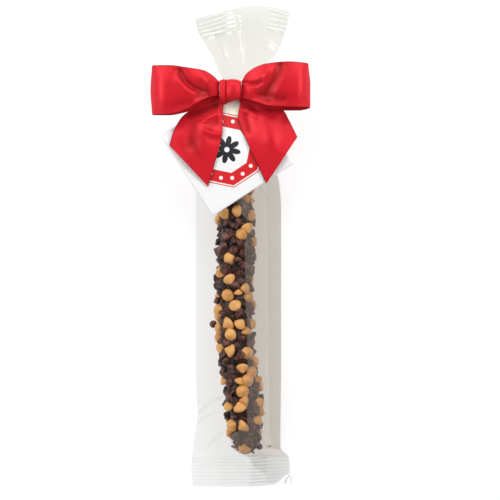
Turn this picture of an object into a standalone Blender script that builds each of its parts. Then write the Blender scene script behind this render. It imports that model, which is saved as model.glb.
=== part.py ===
"""A chocolate coated pretzel rod in a sealed bag of clear film, tied with a satin bow and a card tag.

The pack lies on its back with the shown side up. +X is right, +Y runs from the bottom seal to the
gathered top, +Z is up. The origin is on the floor, below the middle of the whole pack.
"""

import math
import random

import bmesh
import bpy
import numpy as np

MM = 0.001

# Driving sizes, in millimetres
PACK_LENGTH = 256.0
BAG_WIDTH = 45.4
BAG_MIDDLE = 4.3
SEAL_DEPTH = 16.0
FILM_EDGE = 0.7
ROD_LENGTH = 166.0
ROD_RADIUS = 11.5
ROD_CAP = 9.0
FLAT_SPOT = 0.9
NECK_MIDDLE = (0.4, 15.0)
NECK_RADII = (4.3, 3.6)
NECK_ENDS = (76.0, 88.0)
FIN_START = 7.8
FIN_WIDTH = 13.5
FIN_STEP = 0.5
DROP_ROWS = (-4.2, 0.4, 4.6)
DROP_PITCH = 6.2
DROP_REACH = 3.2
RIBBON_WIDTH = 26.0
RIBBON_THICK = 0.7
LOOP_PINCH = 1.5
SLEEVE_SHORTER = 3.0
SLEEVE_WALL = 0.5
BOW_REACH = 41.4
BOW_FRONT = 33.0
BOW_BACK = 23.2
KNOT_SIDES = (-5.8, 5.65)
KNOT_LEVEL = 24.0
TAG_SIDE = 50.6
TAG_THICK = 0.4
TAG_TURN = math.radians(-33.2)
TAG_MIDDLE = (-1.9, 50.9)
GAP = 0.3

# Places worked out from them
BOTTOM = -PACK_LENGTH / 2
SEAL_TOP = BOTTOM + SEAL_DEPTH
ROD_END = SEAL_TOP + 0.3
ROD_TOP = ROD_END + ROD_LENGTH
ROD_AXIS = ROD_RADIUS - FLAT_SPOT

SEED = 7
SHARP_ANGLE = math.radians(50)


def along(points, place):
    """The height at one place of a smooth curve through (place, height) points, with no overshoot."""
    xs = np.array([p[0] for p in points], float)
    ys = np.array([p[1] for p in points], float)
    steps = np.diff(xs)
    slopes = np.diff(ys) / steps
    tangents = np.zeros(len(xs))
    tangents[0], tangents[-1] = slopes[0], slopes[-1]
    for i in range(1, len(xs) - 1):
        if slopes[i - 1] * slopes[i] > 0:
            tangents[i] = 2 / (1 / slopes[i - 1] + 1 / slopes[i])
    place = min(max(place, xs[0]), xs[-1])
    i = int(min(max(np.searchsorted(xs, place) - 1, 0), len(xs) - 2))
    t = (place - xs[i]) / steps[i]
    return float(
        ys[i] * (2 * t**3 - 3 * t**2 + 1)
        + tangents[i] * steps[i] * (t**3 - 2 * t**2 + t)
        + ys[i + 1] * (3 * t**2 - 2 * t**3)
        + tangents[i + 1] * steps[i] * (t**3 - t**2)
    )


def ease(start, end, place):
    """0 before start, 1 after end, and a smooth step between them."""
    t = min(max((place - start) / (end - start), 0.0), 1.0)
    return t * t * (3 - 2 * t)


def paint(name, colour, roughness):
    """A plain material in the piece's own colour."""
    material = bpy.data.materials.new(name)
    material.use_nodes = True
    shader = material.node_tree.nodes["Principled BSDF"]
    shader.inputs["Base Color"].default_value = (*colour, 1.0)
    shader.inputs["Roughness"].default_value = roughness
    return material


def add_piece(name, bm, material):
    """Turn a bmesh in millimetres into a named object in metres."""
    bmesh.ops.scale(bm, vec=(MM, MM, MM), verts=bm.verts)
    mesh = bpy.data.meshes.new(name)
    bm.to_mesh(mesh)
    bm.free()
    mesh.materials.append(material)
    mesh.shade_smooth()
    mesh.set_sharp_from_angle(angle=SHARP_ANGLE)
    piece = bpy.data.objects.new(name, mesh)
    collection.objects.link(piece)
    return piece


def stretch_rows(bm, rows, closed):
    """Vertices in rows, joined row to row by quads. A closed row joins its last point to its first."""
    grid = [[bm.verts.new(point) for point in row] for row in rows]
    for lower, upper in zip(grid, grid[1:]):
        count = len(lower) if closed else len(lower) - 1
        for i in range(count):
            j = (i + 1) % len(lower)
            bm.faces.new((lower[i], lower[j], upper[j], upper[i]))
    return grid


def ribbon_piece(name, rows, material, thickness=RIBBON_THICK):
    """A strip of ribbon or card from rows of points across it, given its thickness by Solidify."""
    bm = bmesh.new()
    stretch_rows(bm, rows, closed=False)
    piece = add_piece(name, bm, material)
    wall = piece.modifiers.new("thickness", "SOLIDIFY")
    wall.thickness = thickness * MM
    wall.offset = 0.0
    return piece


# Bag: one flattened tube of film, sealed flat at both ends, over the rod

BAG_COLUMNS = 18
ROD_STEP = 2.5

LEFT_EDGE = [
    (BOTTOM, -20.1), (-118.0, -21.0), (-108.4, -20.3), (-96.7, -18.5), (-88.2, -17.5), (-80.0, -18.2),
    (-60.0, BAG_MIDDLE - BAG_WIDTH / 2), (30.0, BAG_MIDDLE - BAG_WIDTH / 2), (42.0, -16.6),
    (54.0, -12.6), (64.0, -8.6), (71.0, -5.6), (NECK_ENDS[0], -3.9),
]
RIGHT_EDGE = [
    (BOTTOM, 32.2), (-118.0, 31.6), (-112.0, 30.9), (-106.6, 26.6), (-100.0, 26.6),
    (-60.0, BAG_MIDDLE + BAG_WIDTH / 2), (20.0, BAG_MIDDLE + BAG_WIDTH / 2), (33.0, 26.1),
    (39.5, 24.6), (50.0, 20.2), (60.0, 14.0), (69.0, 8.0), (NECK_ENDS[0], 4.7),
]
EDGE_LEVEL = [
    (BOTTOM, 2.2), (-120.0, 5.0), (SEAL_TOP, 8.2), (-95.0, 8.6), (30.0, 8.6), (56.0, 11.5),
    (NECK_ENDS[0], NECK_MIDDLE[1]),
]
ROD_LINE = [
    (ROD_END, 8.3), (-102.0, 8.0), (-92.0, 7.3), (-81.0, 6.7), (-65.0, 4.5), (-44.0, 2.2),
    (-7.0, 2.3), (14.0, 2.4), (ROD_TOP, 2.0),
]
FAN_LEFT = [
    (88.0, -3.9), (92.8, -6.2), (100.4, -9.5), (106.8, -13.4), (113.9, -17.2), (120.6, -18.9),
]
FAN_RIGHT = [
    (88.0, 4.7), (93.0, 12.5), (98.3, 20.4), (104.1, 25.4), (115.3, 29.3), (124.3, 31.5),
]
FAN_BULGE = 5.25
FAN_WAVE = 2.2
FAN_PLEAT = 1.3
FAN_ROWS = 9


def rod_radius(y):
    """The coated rod's radius at one place: straight, with rounded ends."""
    past = max(ROD_END + ROD_CAP - y, y - (ROD_TOP - ROD_CAP), 0.0) / ROD_CAP
    return ROD_RADIUS * math.sqrt(max(1 - past * past, 0.0))


def hull_height(x, radius, edge, edge_height):
    """Height of tight film over a round rod at x from its axis, down to the bag's edge beside it."""
    reach = math.hypot(edge, edge_height)
    if reach <= radius + 0.01:
        return edge_height * x / edge if edge else 0.0
    touch = math.atan2(edge_height, edge) + math.acos(radius / reach)
    touch_x, touch_z = radius * math.cos(touch), radius * math.sin(touch)
    if x <= touch_x:
        return math.sqrt(max(radius**2 - x**2, 0.0))
    return touch_z + (edge_height - touch_z) * (x - touch_x) / (edge - touch_x)


def make_drops():
    """Seeded places of the drops that press the film up along the rod's ridge, as (x, y, height)."""
    draw = random.Random(SEED)
    drops = []
    y = ROD_END + 5.0
    while y < ROD_TOP - 5.0:
        for side in DROP_ROWS:
            x = along(ROD_LINE, y) + side + draw.uniform(-1.0, 1.0)
            drops.append((x, y + draw.uniform(-2.4, 2.4), draw.uniform(0.3, 0.9)))
        y += DROP_PITCH
    return drops


def press_out(x, y, drops):
    """How far the drops under the film lift it at one point."""
    lift = 0.0
    for drop_x, drop_y, height in drops:
        away = math.hypot(x - drop_x, y - drop_y) / DROP_REACH
        if away < 1.0:
            lift = max(lift, height * (1 - away * away))
    return lift


def body_row(y, drops):
    """One row round the bag's body: film over the rod from edge to edge, then back underneath."""
    left, right = along(LEFT_EDGE, y), along(RIGHT_EDGE, y)
    edge_z = along(EDGE_LEVEL, y)
    shoulder = max(y - (ROD_TOP - ROD_CAP), 0.0) / (NECK_ENDS[0] - ROD_TOP + ROD_CAP)
    shoulder_radius = (NECK_RADII[1] - ROD_RADIUS) * shoulder + ROD_RADIUS * (shoulder > 0)
    radius = max(rod_radius(y), shoulder_radius)
    in_bag = ease(SEAL_TOP - 3.0, SEAL_TOP + 4.0, y)
    axis = along(ROD_LINE, y)
    axis_z = edge_z + (ROD_AXIS + (NECK_MIDDLE[1] - ROD_AXIS) * shoulder - edge_z) * in_bag
    gather = ease(ROD_TOP, NECK_ENDS[0], y)
    fin_along = (1 - ease(20.0, 46.0, y)) * ease(SEAL_TOP, SEAL_TOP + 6, y)
    top, under = [], []
    for i in range(BAG_COLUMNS + 1):
        t = i / BAG_COLUMNS
        x = left + (right - left) * t
        side = abs(x - axis)
        edge = right - axis if x > axis else axis - left
        over = axis_z + hull_height(side, radius, edge, edge_z - axis_z)
        below = axis_z - hull_height(side, radius, edge, axis_z - edge_z)
        swell = NECK_RADII[1] * math.sqrt(max(1 - (2 * t - 1) ** 2, 0.0))
        over += (edge_z + swell - over) * gather
        below += (edge_z - swell - below) * gather
        if y < ROD_TOP and radius > ROD_RADIUS * 0.7:
            over += press_out(x, y, drops)
        fin_end = FIN_START + FIN_WIDTH
        fin = ease(FIN_START - 0.8, FIN_START + 0.8, x) * (1 - ease(fin_end - 0.2, fin_end + 1.4, x))
        over += FIN_STEP * fin * fin_along
        top.append((x, y, over + FILM_EDGE / 2))
        under.append((x, y, max(below - FILM_EDGE / 2, 0.0)))
    return top + under[::-1]


def fan_row(f):
    """One row round the gathered top, from the neck (0) to its sealed edge (1)."""
    left_y = FAN_LEFT[0][0] + (FAN_LEFT[-1][0] - FAN_LEFT[0][0]) * f
    right_y = FAN_RIGHT[0][0] + (FAN_RIGHT[-1][0] - FAN_RIGHT[0][0]) * f
    left, right = along(FAN_LEFT, left_y), along(FAN_RIGHT, right_y)
    level = NECK_MIDDLE[1] - 6.0 * f * f
    top, under = [], []
    for i in range(BAG_COLUMNS + 1):
        t = i / BAG_COLUMNS
        x = left + (right - left) * t
        y = left_y + (right_y - left_y) * t + FAN_BULGE * f * math.sin(math.pi * t**1.2)
        wave = FAN_WAVE * ease(0, 1, f) * math.sin(2 * math.pi * (1.25 * t + 0.1))
        pleat = FAN_PLEAT * math.sin(math.pi * f) * math.cos(2 * math.pi * 3 * t)
        swell = NECK_RADII[1] * math.sqrt(max(1 - (2 * t - 1) ** 2, 0.0)) * (1 - f) ** 2.5
        middle = level + wave + pleat * min(1.0, 4 * f)
        half = swell + FILM_EDGE / 2 + 0.2 * math.sin(math.pi * t)
        top.append((x, y, middle + half))
        under.append((x, y, middle - half))
    return top + under[::-1]


def make_bag(material):
    drops = make_drops()
    rod_stations = np.arange(SEAL_TOP + 1.2, ROD_TOP, ROD_STEP)
    stations = [BOTTOM, -124.0, -120.0, -116.5, SEAL_TOP - 1.0, *rod_stations]
    stations += list(np.linspace(ROD_TOP + 1.0, NECK_ENDS[0], 7))
    rows = [body_row(y, drops) for y in stations]
    rows.append([(x, sum(NECK_ENDS) / 2, z) for x, _, z in fan_row(0.0)])
    rows += [fan_row(i / FAN_ROWS) for i in range(FAN_ROWS + 1)]
    bm = bmesh.new()
    grid = stretch_rows(bm, rows, closed=True)
    for ring in (grid[0], grid[-1]):
        half = len(ring) // 2
        for i in range(half - 1):
            bm.faces.new((ring[i], ring[i + 1], ring[-2 - i], ring[-1 - i]))
    bmesh.ops.recalc_face_normals(bm, faces=bm.faces)
    return add_piece("bag", bm, material)


# Tag: a square card that hangs by its top corner behind the knot

TAG_CELLS = 12


def card_level(y):
    """Middle of the card's thickness: low behind the knot, then over the end of the rod."""
    return 20.2 + 4.2 * ease(78.0, 46.0, y) + 0.5 * ease(46.0, 17.0, y)


def make_tag(material):
    rows = []
    for i in range(TAG_CELLS + 1):
        row = []
        for j in range(TAG_CELLS + 1):
            along_side = TAG_SIDE * (j / TAG_CELLS - 0.5)
            across = TAG_SIDE * (i / TAG_CELLS - 0.5)
            x = TAG_MIDDLE[0] + along_side * math.cos(-TAG_TURN) - across * math.sin(-TAG_TURN)
            y = TAG_MIDDLE[1] + along_side * math.sin(-TAG_TURN) + across * math.cos(-TAG_TURN)
            row.append((x, y, card_level(y)))
        rows.append(row)
    return ribbon_piece("tag", rows, material, TAG_THICK)


# Bow: two open loops, two cut tails, the knot, and the ribbon round the neck

LOOP_STEPS = 40
LOOP_CELLS = 8
TAIL_STEPS = 16

LOOP_SIDE = [
    (0.0, 6.4, 25.2), (0.09, 9.6, 28.0), (0.2, 16.0, 31.2), (0.32, 25.0, BOW_FRONT),
    (0.43, 34.0, BOW_FRONT - 0.4), (0.5, BOW_REACH - 2.0, 30.4), (0.55, BOW_REACH, 27.7),
    (0.6, BOW_REACH - 1.2, 25.0), (0.67, 35.6, 23.6), (0.8, 24.0, BOW_BACK), (0.92, 12.0, BOW_BACK),
    (1.0, 6.4, BOW_BACK),
]
LOOP_EDGES = {
    "left": {
        "top": [(6.0, 87.4), (9.9, 90.4), (14.1, 92.3), (22.3, 93.6), (31.1, 94.8), (BOW_REACH, 95.0)],
        "bottom": [
            (6.0, 77.6), (9.4, 76.6), (14.1, 74.7), (24.4, 70.8), (32.7, 69.0),
            (BOW_REACH, 95.0 - RIBBON_WIDTH),
        ],
        "back_drop": -0.4,
    },
    "right": {
        "top": [(6.0, 87.0), (8.7, 90.9), (14.0, 94.2), (19.0, 95.7), (30.0, 96.8), (BOW_REACH, 96.1)],
        "bottom": [(6.0, 77.9), (10.5, 76.6), (15.6, 74.8), (19.8, 73.5), (26.0, 72.9), (BOW_REACH, 72.7)],
        "back_drop": 1.4,
    },
}


def make_loop(name, side, direction, material):
    """One loop: out from the knot over the front, round its outer end and back behind."""
    edges = LOOP_EDGES[side]
    across = [(s, x) for s, x, _ in LOOP_SIDE]
    height = [(s, z) for s, _, z in LOOP_SIDE]
    rows = []
    for i in range(LOOP_STEPS + 1):
        s = i / LOOP_STEPS
        x, z = along(across, s), along(height, s)
        behind = ease(0.5, 0.62, s) * (1 - ease(0.85, 1.0, s)) * edges["back_drop"]
        low, high = along(edges["bottom"], x) - behind, along(edges["top"], x) - behind
        front_fold = ease(0.0, 0.06, s) * (1 - ease(0.18, 0.4, s))
        row = []
        for j in range(LOOP_CELLS + 1):
            v = j / LOOP_CELLS
            pinch = LOOP_PINCH * front_fold * math.sin(2 * math.pi * v + 0.6)
            row.append((direction * x, low + (high - low) * v, z + pinch))
        rows.append(row)
    return ribbon_piece(name, rows, material)


TAIL_EDGES = {
    "left": {
        "outer": [(-10.5, 75.4), (-18.0, 73.4), (-24.4, 69.4), (-27.9, 64.7), (-30.2, 59.8), (-32.1, 53.1)],
        "inner": [(-4.4, 73.2), (-4.0, 69.7), (-4.1, 61.7), (-5.3, 54.0), (-8.2, 43.6), (-11.7, 31.5)],
    },
    "right": {
        "inner": [(5.1, 76.2), (3.9, 68.6), (5.6, 62.5), (9.4, 53.2), (13.9, 43.3), (18.8, 32.9)],
        "outer": [(11.5, 76.0), (20.0, 75.0), (27.6, 71.9), (30.8, 66.5), (33.0, 62.0), (35.2, 57.5)],
    },
}


def read_edge(points, u):
    """The point at u from 0 to 1 along a smooth line through points."""
    places = [i / (len(points) - 1) for i in range(len(points))]
    return [along([(p, q[k]) for p, q in zip(places, points)], u) for k in (0, 1)]


def make_tail(name, side, material):
    """One tail: narrow at the knot, full ribbon width over the card, cut off at a slant."""
    edges = TAIL_EDGES[side]
    rows = []
    for i in range(TAIL_STEPS + 1):
        u = i / TAIL_STEPS
        inner, outer = read_edge(edges["inner"], u), read_edge(edges["outer"], u)
        row = []
        for j in range(LOOP_CELLS + 1):
            v = j / LOOP_CELLS
            x = inner[0] + (outer[0] - inner[0]) * v
            y = inner[1] + (outer[1] - inner[1]) * v
            rest = card_level(y) + TAG_THICK / 2 + GAP + RIBBON_THICK / 2
            lift = 0.9 * ease(0.25, 0.6, u) * math.sin(math.pi * v) ** 2
            row.append((x, y, rest + 0.12 + lift))
        rows.append(row if side == "left" else row[::-1])
    return ribbon_piece(name, rows, material)


KNOT_TOP = [(-5.8, 87.6), (-2.0, 88.0), (2.0, 87.8), (5.65, 86.9)]
KNOT_BOTTOM = [(-5.8, 75.0), (-4.0, 74.3), (-0.9, 75.4), (2.4, 76.4), (5.65, 77.3)]
KNOT_DEPTH = [(-5.8, 2.5), (-3.8, 3.1), (-1.9, 2.5), (-0.6, 3.1), (2.6, 3.2), (5.65, 2.7)]
KNOT_RINGS = 14
KNOT_POINTS = 20


def make_knot(material):
    """The knot: ribbon turned over the middle of the bow, with a narrower turn beside it."""
    left, right = KNOT_SIDES
    rows = []
    for i in range(KNOT_RINGS + 1):
        x = left + (right - left) * i / KNOT_RINGS
        top, bottom, depth = along(KNOT_TOP, x), along(KNOT_BOTTOM, x), along(KNOT_DEPTH, x)
        row = []
        for j in range(KNOT_POINTS):
            angle = 2 * math.pi * j / KNOT_POINTS
            c, s = math.cos(angle), math.sin(angle)
            y = (top + bottom) / 2 + (top - bottom) / 2 * math.copysign(abs(c) ** 0.75, c)
            row.append((x, y, KNOT_LEVEL + depth * math.copysign(abs(s) ** 0.75, s)))
        rows.append(row)
    bm = bmesh.new()
    grid = stretch_rows(bm, rows, closed=True)
    bm.faces.new(grid[0])
    bm.faces.new(grid[-1])
    bmesh.ops.recalc_face_normals(bm, faces=bm.faces)
    return add_piece("bow_knot", bm, material)


def make_wrap(material):
    """The ribbon round the neck that holds it shut behind the bow: an open sleeve with a wall."""
    length = NECK_ENDS[1] - NECK_ENDS[0] - SLEEVE_SHORTER
    bm = bmesh.new()
    bmesh.ops.create_cone(bm, cap_ends=False, segments=28, radius1=1, radius2=1, depth=length)
    clear = FILM_EDGE / 2 + 1.5 * GAP
    for vert in bm.verts:
        x, y, z = vert.co
        vert.co.x = NECK_MIDDLE[0] + x * (NECK_RADII[0] + clear)
        vert.co.y = sum(NECK_ENDS) / 2 + z
        vert.co.z = NECK_MIDDLE[1] - y * (NECK_RADII[1] + clear)
    piece = add_piece("bow_wrap", bm, material)
    wall = piece.modifiers.new("thickness", "SOLIDIFY")
    wall.thickness = SLEEVE_WALL * MM
    wall.offset = 1.0
    return piece


for old in list(bpy.data.objects):
    bpy.data.objects.remove(old)
collection = bpy.data.collections.new("wrapped pretzel rod")
bpy.context.scene.collection.children.link(collection)

film = paint("clear film over chocolate", (0.62, 0.55, 0.48), 0.25)
satin = paint("red satin ribbon", (0.68, 0.02, 0.04), 0.4)
card = paint("white card", (0.93, 0.93, 0.92), 0.6)

make_bag(film)
make_tag(card)
make_loop("bow_loop_left", "left", -1, satin)
make_loop("bow_loop_right", "right", 1, satin)
make_tail("bow_tail_left", "left", satin)
make_tail("bow_tail_right", "right", satin)
make_knot(satin)
make_wrap(satin)
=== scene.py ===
import math
import random

import bpy
import numpy as np
from mathutils import Matrix, Vector, noise


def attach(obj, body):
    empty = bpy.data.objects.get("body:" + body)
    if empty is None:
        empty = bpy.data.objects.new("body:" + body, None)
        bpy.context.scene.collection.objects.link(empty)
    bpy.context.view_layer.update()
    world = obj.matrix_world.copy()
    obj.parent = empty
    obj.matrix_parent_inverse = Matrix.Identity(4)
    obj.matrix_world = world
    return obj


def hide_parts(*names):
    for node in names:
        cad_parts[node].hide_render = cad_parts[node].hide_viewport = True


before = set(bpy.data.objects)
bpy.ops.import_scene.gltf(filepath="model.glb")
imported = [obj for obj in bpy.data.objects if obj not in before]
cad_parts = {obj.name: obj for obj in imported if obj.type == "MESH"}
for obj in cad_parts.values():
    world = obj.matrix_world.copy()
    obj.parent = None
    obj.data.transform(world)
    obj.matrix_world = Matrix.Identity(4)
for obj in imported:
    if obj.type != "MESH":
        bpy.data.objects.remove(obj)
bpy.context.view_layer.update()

# Pretzel rod in its coat. The stick is dipped whole in dark chocolate, which sets lumpy with a half gloss.
# The coat holds the drops and chips, and the rod lies a little askew in its bag.
MM = 0.001
ROD_END, ROD_TOP = -111.7, 54.3
COAT_RADIUS = 8.3
ROD_AXIS = 10.6
ROD_LINE = [
    (ROD_END, 8.3), (-102.0, 8.0), (-92.0, 7.3), (-81.0, 6.7), (-65.0, 4.5), (-44.0, 2.2),
    (-7.0, 2.3), (14.0, 2.4), (ROD_TOP, 2.0),
]
COAT_CUTS, LONG_EDGE = 100, 50.0
COAT_SHORTER = 3.0
COAT_LUMPS = [(4.5, 0.9, 0.0), (1.9, 0.35, 5.0)]
TAPER, TAPER_FROM, TAPER_TO = 0.25, 94.0, 105.0


def smooth_line(points, places):
    """Heights at the places of a smooth curve through (place, height) points, with no overshoot."""
    xs, ys = np.array(points, float).T
    steps = np.diff(xs)
    slopes = np.diff(ys) / steps
    tangents = np.zeros(len(xs))
    tangents[0], tangents[-1] = slopes[0], slopes[-1]
    for i in range(1, len(xs) - 1):
        if slopes[i - 1] * slopes[i] > 0:
            tangents[i] = 2 / (1 / slopes[i - 1] + 1 / slopes[i])
    x = np.clip(np.asarray(places, float), xs[0], xs[-1])
    i = np.clip(np.searchsorted(xs, x) - 1, 0, len(xs) - 2)
    t = (x - xs[i]) / steps[i]
    return (
        ys[i] * (2 * t**3 - 3 * t**2 + 1)
        + tangents[i] * steps[i] * (t**3 - 2 * t**2 + t)
        + ys[i + 1] * (3 * t**2 - 2 * t**3)
        + tangents[i + 1] * steps[i] * (t**3 - t**2)
    )


def ease(start, end, places):
    """0 before start, 1 after end, and a smooth step between them."""
    t = np.clip((np.asarray(places, float) - start) / (end - start), 0.0, 1.0)
    return t * t * (3 - 2 * t)


def end_taper(y):
    """How much thinner the rod grows towards its lower end."""
    return 1 - TAPER * ease(TAPER_FROM, TAPER_TO, -np.asarray(y, float))


def points_of(piece):
    """The piece's vertices as rows of x, y, z in millimetres."""
    points = np.empty(len(piece.data.vertices) * 3)
    piece.data.vertices.foreach_get("co", points)
    return points.reshape(-1, 3) / MM


def shape(piece, points):
    """Moves the piece's vertices to these places, in millimetres."""
    piece.data.vertices.foreach_set("co", np.asarray(points, float).ravel() * MM)
    piece.data.update()


def lump(points, size, strength, seed=0.0):
    """Uneven relief: a smooth random height for each point, from lumps of about that size."""
    return np.array([strength * noise.noise(Vector(p) / size + Vector((seed, seed, seed))) for p in points])


def select_only(*pieces):
    """Selects these pieces and nothing else, the first one active."""
    bpy.ops.object.select_all(action="DESELECT")
    for piece in pieces:
        piece.select_set(True)
    bpy.context.view_layer.objects.active = pieces[0]


def begin(add, **how):
    """A new primitive, added with nothing else selected."""
    bpy.ops.object.select_all(action="DESELECT")
    add(**how)
    return bpy.context.object


def settle(piece, name, angle=50.0):
    """Names a new piece, puts its place into its mesh and smooths it."""
    select_only(piece)
    bpy.ops.object.transform_apply(location=True, rotation=True, scale=True)
    bpy.ops.object.shade_smooth_by_angle(angle=math.radians(angle))
    piece.name = piece.data.name = name
    return piece


coat = begin(
    bpy.ops.mesh.primitive_uv_sphere_add,
    segments=44, ring_count=25, radius=COAT_RADIUS * MM, rotation=(math.pi / 2, 0, 0),
)
settle(coat, "chocolate_coat")
points = points_of(coat)
points[:, 1] += np.sign(points[:, 1]) * (ROD_TOP - ROD_END - 2 * COAT_RADIUS - COAT_SHORTER) / 2
points[:, 1] += (ROD_TOP + ROD_END) / 2
shape(coat, points)
for part in (*coat.data.vertices, *coat.data.edges, *coat.data.polygons):
    part.select = False
for edge in coat.data.edges:
    a, b = (coat.data.vertices[v].co for v in edge.vertices)
    edge.select = abs(a.y - b.y) > LONG_EDGE * MM
bpy.context.tool_settings.mesh_select_mode = (False, True, False)
bpy.ops.object.mode_set(mode="EDIT")
bpy.ops.mesh.subdivide(number_cuts=COAT_CUTS)
bpy.ops.object.mode_set(mode="OBJECT")
points = points_of(coat)
radial = points * (1, 0, 1)
radial /= np.maximum(np.linalg.norm(radial, axis=1), 1e-6)[:, None]
points += radial * sum(lump(points, *relief) for relief in COAT_LUMPS)[:, None]
points[:, [0, 2]] *= end_taper(points[:, 1])[:, None]
points[:, 0] += smooth_line(ROD_LINE, points[:, 1])
points[:, 2] += ROD_AXIS
shape(coat, points)

# Painted shade: the coat's tones are kept much darker than the chips', so the gaps between the chips, where the
# coat shows, read as shaded.
CHOCOLATE_DARK = (0.011, 0.0028, 0.0017, 1)
SHADED_COAT_LIGHT = (0.07, 0.021, 0.013, 1)
CHIP_LIGHT = (0.25, 0.095, 0.072, 1)


def feed(tree, node, settings):
    """Sets a node's sockets, or links those whose value is another node's output."""
    for socket, value in settings.items():
        if isinstance(value, bpy.types.NodeSocket):
            tree.links.new(value, node.inputs[socket])
        else:
            node.inputs[socket].default_value = value


def add_node(tree, kind, settings, **own):
    """A new shader node of this kind, with its own properties set and its sockets fed."""
    node = tree.nodes.new("ShaderNode" + kind)
    for name, value in own.items():
        setattr(node, name, value)
    feed(tree, node, settings)
    return node


def new_finish(name):
    """A node material, as (material, node tree, shader)."""
    material = bpy.data.materials.new(name)
    material.use_nodes = True
    return material, material.node_tree, material.node_tree.nodes["Principled BSDF"]


def speckle(tree, scale, detail=3.0, roughness=0.55):
    """A noise texture on the piece's own coordinates, with this many grains to a metre."""
    place = tree.nodes.get("Texture Coordinate") or tree.nodes.new("ShaderNodeTexCoord")
    settings = {"Vector": place.outputs["Object"], "Scale": scale, "Detail": detail, "Roughness": roughness}
    return add_node(tree, "TexNoise", settings).outputs["Fac"]


def two_tones(tree, factor, low, high, start, end):
    """A colour that runs from one tone to another along a factor."""
    ramp = add_node(tree, "ValToRGB", {"Fac": factor})
    for stop, place, tone in zip(ramp.color_ramp.elements, (start, end), (low, high)):
        stop.position, stop.color = place, tone
    return ramp.outputs["Color"]


def raised(tree, height, strength, distance):
    """A surface raised and lowered by a height, for a shader's normal."""
    settings = {"Height": height, "Strength": strength, "Distance": distance}
    return add_node(tree, "Bump", settings).outputs["Normal"]


def chocolate_finish(name, light):
    """Dark chocolate: deep brown with a paler bloom, and a gloss that comes and goes."""
    material, tree, shader = new_finish(name)
    bloom, gloss, pits = speckle(tree, 260, 4.0), speckle(tree, 420, 2.0), speckle(tree, 1100)
    shine = add_node(tree, "MapRange", {"Value": gloss, "To Min": 0.17, "To Max": 0.5})
    feed(tree, shader, {
        "Base Color": two_tones(tree, bloom, CHOCOLATE_DARK, light, 0.4, 0.7),
        "Roughness": shine.outputs["Result"], "Specular IOR Level": 0.3,
        "Normal": raised(tree, pits, 0.4, 0.0005),
    })
    return material


coat.data.materials.append(chocolate_finish("shaded dark chocolate coat", SHADED_COAT_LIGHT))
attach(coat, "root")

# Peanut drops: tan, waxy, moulded in the shape of a kiss about 6.5 mm across, with a flat base and a small tip.
# They are pressed into the wet coat at all angles. Those that the shown side has come first, as place across
# and along the pack, which way the tip points, how far it leans and size; a seeded rule strews the rest.
DROP_RADIUS = 3.55
COATED_RADIUS, SHOWN_RADIUS, ROUND_RADIUS = 11.6, 8.9, 9.0
END_OVERHANG, COAT_BITE, FLOOR_GAP = 0.9, 0.2, 0.35
STEEPEST, WHOLE_TURN = 0.98, 6.28
UNEVEN = (0.92, 1.08)
KISS_WAIST, KISS_BODY, KISS_TIP, KISS_BASE = 0.2, 0.68, 0.34, 0.45
STREW_SEED, DROP_TRIES, DROP_ROOM, DROP_SINK = 11, 2600, 6.6, 0.7
SHOWN_ANGLE, SHOWN_TOP = 1.9, 12.0
SHOWN_DROPS = [
    (-7.2, 14.0, 200, 35, 1), (-3.5, 17.7, 60, 30, 1), (3.4, 18.8, 180, 45, 1),
    (10.8, 16.7, 20, 40, 0.95), (8.7, 9.8, -60, 60, 1.05), (6.0, 6.6, 45, 30, 1),
    (11.3, 2.4, 45, 70, 0.95), (-0.9, -6.6, 250, 10, 0.98), (-5.6, -13.5, 140, 40, 0.95),
    (-0.9, -17.2, -60, 55, 1.02), (-1.4, -25.7, 60, 20, 1), (8.1, -22.0, 200, 40, 0.95),
    (3.9, -24.6, 90, 85, 0.62), (9.7, -26.8, 180, 20, 1), (2.3, -31.0, 110, 40, 1.02),
    (-6.2, -33.7, 120, 15, 1.08), (11.8, -30.5, 30, 40, 0.92), (-7.2, -37.4, 220, 40, 0.98),
    (-1.1, -40.5, 215, 80, 1.05), (-6.2, -43.2, 160, 30, 1), (5.0, -41.1, 50, 55, 1),
    (11.3, -41.1, 90, 35, 1), (8.9, -45.3, 90, 85, 0.95), (-0.3, -46.4, 200, 25, 0.97),
    (-9.4, -48.0, 170, 50, 0.95), (-5.6, -53.8, 250, 40, 0.97), (0.2, -55.1, 165, 85, 1.05),
    (8.9, -56.4, 20, 15, 1), (12.6, -61.2, -20, 35, 0.95), (6.3, -63.9, -85, 60, 1),
    (11.3, -66.5, 40, 30, 0.92), (8.9, -70.8, 90, 5, 0.95), (4.4, -71.3, 60, 80, 0.72),
    (-4.1, -71.3, 130, 70, 0.8), (14.5, -70.8, 30, 60, 0.85), (16.1, -74.5, -30, 50, 0.9),
    (6.3, -76.3, 90, 10, 0.97), (8.1, -81.4, 180, 80, 0.98), (-0.9, -84.5, 120, 50, 0.9),
    (5.0, -85.1, 110, 60, 1), (15.0, -82.4, 40, 60, 0.85), (16.6, -88.0, -10, 55, 0.85),
    (14.5, -92.0, 60, 65, 0.88), (0.7, -94.6, 90, 10, 0.98), (7.1, -94.6, 215, 85, 1.02),
    (-1.7, -98.8, 230, 60, 0.8), (6.6, -111.0, 90, 45, 1.1),
]


def mark(piece, name, values):
    """Keeps a value on each of the piece's points, for its material to read."""
    piece.data.attributes.new(name, "FLOAT", "POINT").data.foreach_set("value", values)


def read_mark(tree, name):
    """The value that a piece keeps on its points."""
    return add_node(tree, "Attribute", {}, attribute_name=name).outputs["Fac"]


def sum_up(tree, operation, *values):
    """The result of a maths step on sockets or plain numbers."""
    return add_node(tree, "Math", dict(enumerate(values)), operation=operation).outputs["Value"]


def kiss_shape(points):
    """A round ball drawn up to a small tip and flattened below."""
    up = points[:, 2]
    high = np.maximum(up, 0)
    narrow = (1 - KISS_WAIST * ease(0.0, 1.0, up))[:, None]
    rise = np.where(up > 0, KISS_BODY * high + KISS_TIP * high**9, KISS_BASE * up)
    return np.column_stack([points[:, :2] * narrow, rise])


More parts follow.
